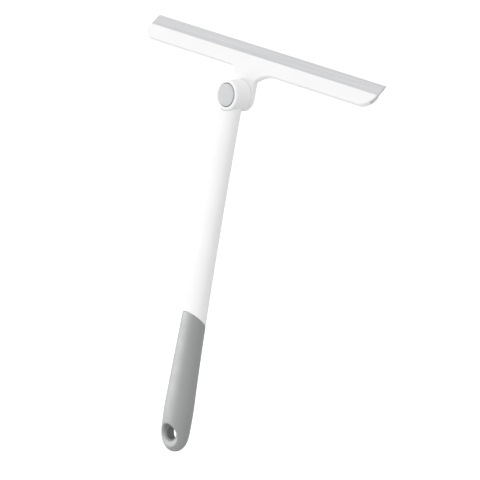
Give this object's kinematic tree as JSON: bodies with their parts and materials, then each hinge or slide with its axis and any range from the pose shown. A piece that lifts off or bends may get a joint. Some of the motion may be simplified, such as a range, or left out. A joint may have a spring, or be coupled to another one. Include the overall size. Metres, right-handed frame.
{
  "type": "window cleaning squeegee",
  "caption": "Window squeegee with a wide rubber blade on a tilted head, a push-button swivel, a long stem and a soft grip with a hang hole.",
  "frame": {"origin": "on the hang hole's axis, in the plane of the stem's centre line", "axes": "+X along the blade, +Y up the handle to the head, +Z out of the push button, along the hang hole and the swivel axis"},
  "size_m": [0.3, 0.3644, 0.0442],
  "materials": {
    "white_plastic": "satin moulded",
    "blade_rubber": "smooth",
    "button_plastic": "fine texture",
    "grip_rubber": "soft touch",
    "core_plastic": "moulded",
    "gear_plastic": "moulded",
    "steel": "zinc plated",
    "brass": "turned"
  },
  "bodies": {
    "handle": {"hub_housing": "white_plastic", "stem_tube": "white_plastic", "grip_sleeve": "grip_rubber", "tail_plug": "core_plastic", "threaded_insert": "brass", "pivot_sleeve": "steel", "pivot_bolt": "steel", "spring_washer": "steel", "retaining_washer": "steel", "return_spring": "steel"},
    "head": {"head_frame": "white_plastic", "squeegee_blade": "blade_rubber", "head_back_shell": "white_plastic", "shell_screws": "steel", "rear_cap": "white_plastic"},
    "button": {"push_button": "button_plastic", "lock_gear": "gear_plastic"}
  },
  "joints": [
    {"name": "head_swivel", "type": "hinge", "parent": "handle", "child": "head", "pos_m": [0, 0.305, -0.0089], "axis": [0, 0, 1], "range_deg": [-90, 90]},
    {"name": "button_press", "type": "slide", "parent": "handle", "child": "button", "axis": [0, 0, -1], "range_m": [0, 0.0035], "stiffness_N_per_m": 600, "springref_m": -0.0035, "deforming": ["return_spring"]}
  ]
}
